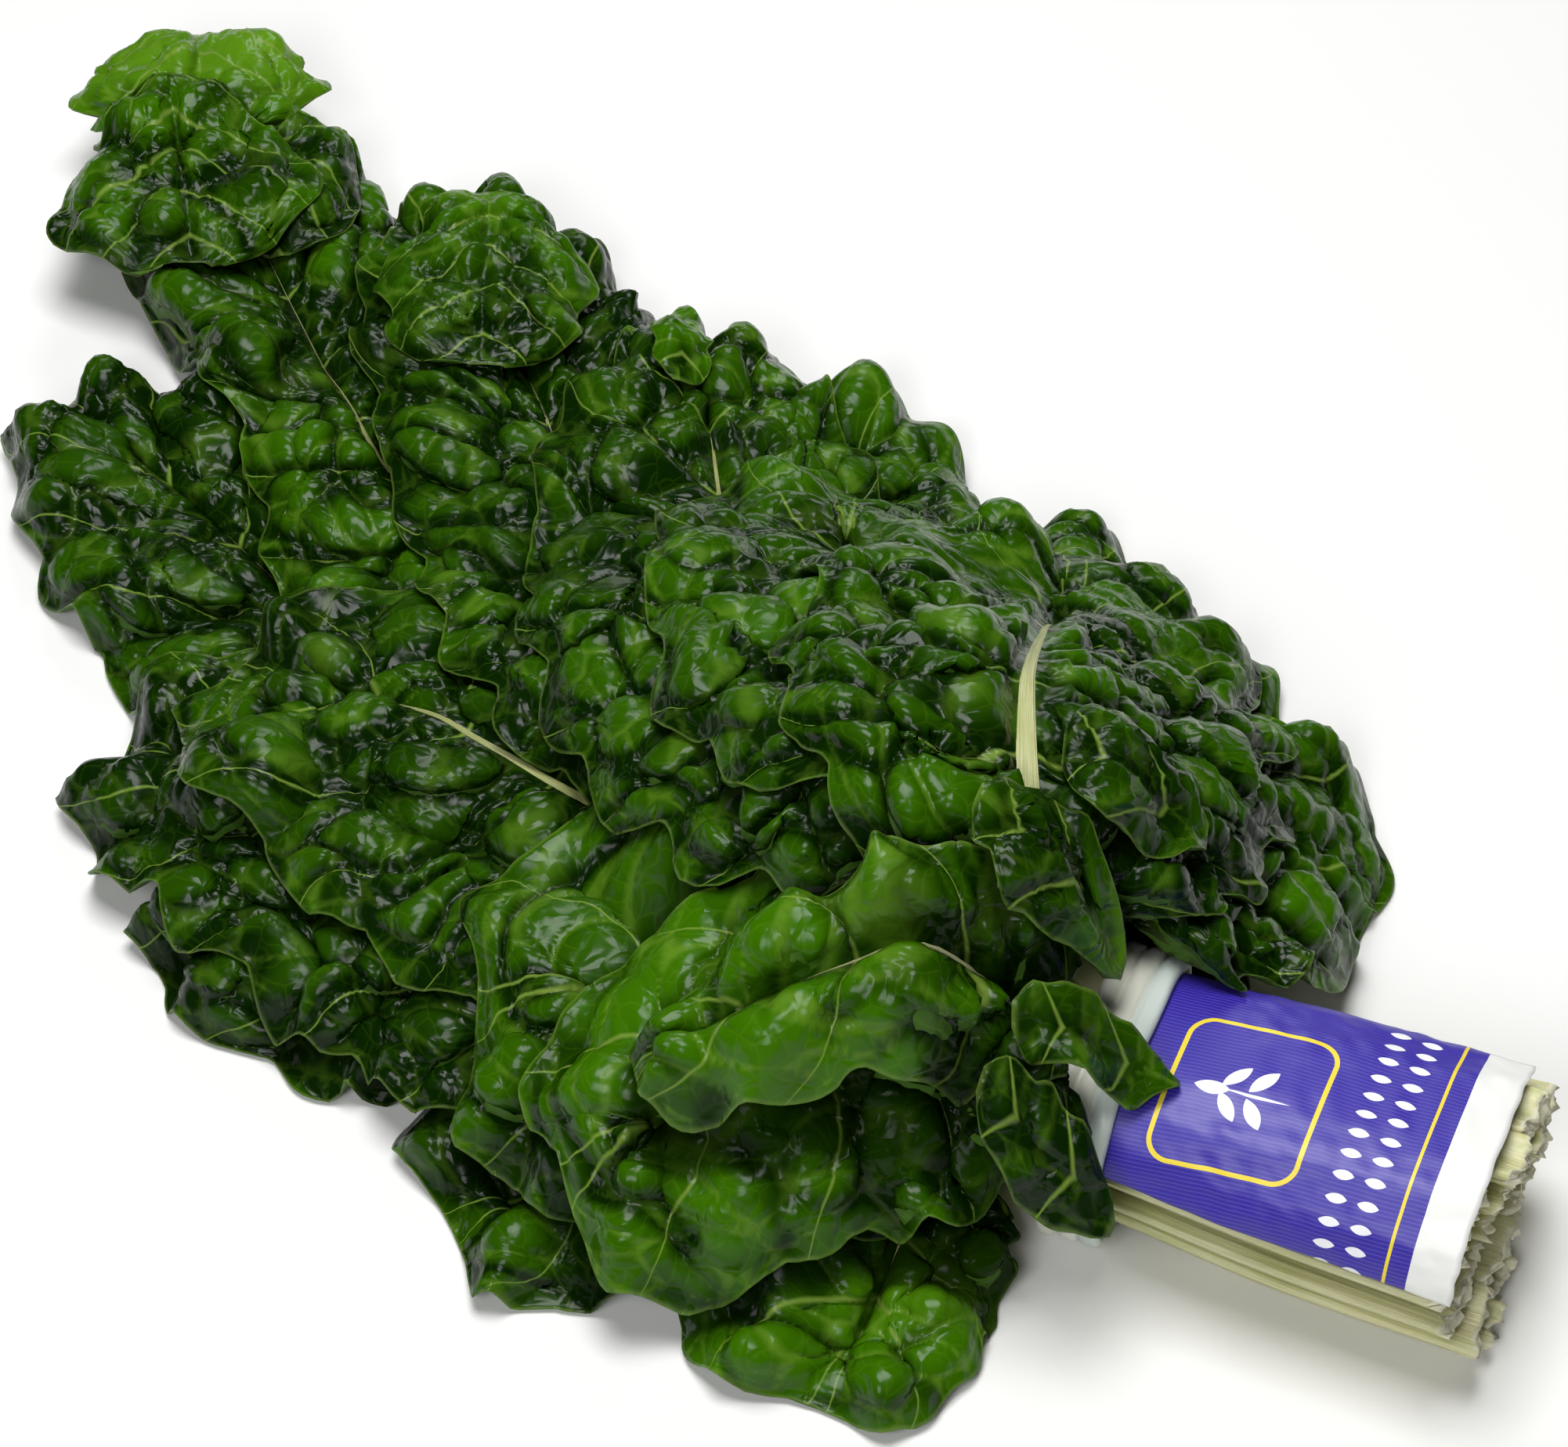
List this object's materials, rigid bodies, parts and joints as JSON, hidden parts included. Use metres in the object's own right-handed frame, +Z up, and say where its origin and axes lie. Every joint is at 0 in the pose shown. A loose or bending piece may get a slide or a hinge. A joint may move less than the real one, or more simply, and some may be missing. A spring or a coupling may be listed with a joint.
{
  "type": "bunch of swiss chard",
  "caption": "Lying bunch of crinkled green chard leaves with pale stalks and midribs, held at the neck by a ribbed band, with a printed tag wrapped over the stalks.",
  "frame": {"origin": "centre of the bunch's footprint, on the surface that it lies on", "axes": "+Z up from that surface, +Y from the cut ends of the stalks to the tips of the leaves, +X across the bunch to the right as seen from the cut ends"},
  "size_m": [0.2504, 0.4806, 0.0956],
  "materials": {
    "blade": "glossy, crinkled leaf",
    "stalk": "satin, finely ribbed",
    "band": "semi-gloss, slightly see-through",
    "tag": "gloss printed film"
  },
  "bodies": {
    "root": {"stalk_01": "stalk", "blade_01": "blade", "stalk_02": "stalk", "blade_02": "blade", "stalk_03": "stalk", "blade_03": "blade", "stalk_04": "stalk", "blade_04": "blade", "stalk_05": "stalk", "blade_05": "blade", "stalk_06": "stalk", "blade_06": "blade", "stalk_07": "stalk", "blade_07": "blade", "stalk_08": "stalk", "blade_08": "blade", "stalk_09": "stalk", "blade_09": "blade", "stalk_10": "stalk", "blade_10": "blade", "stalk_11": "stalk", "blade_11": "blade", "stalk_12": "stalk", "blade_12": "blade", "stalk_13": "stalk", "blade_13": "blade", "stalk_14": "stalk", "blade_14": "blade", "stalk_15": "stalk", "blade_15": "blade", "stalk_16": "stalk", "blade_16": "blade", "stalk_17": "stalk", "blade_17": "blade", "stalk_18": "stalk", "blade_18": "blade", "band": "band", "tag": "tag"}
  },
  "joints": []
}
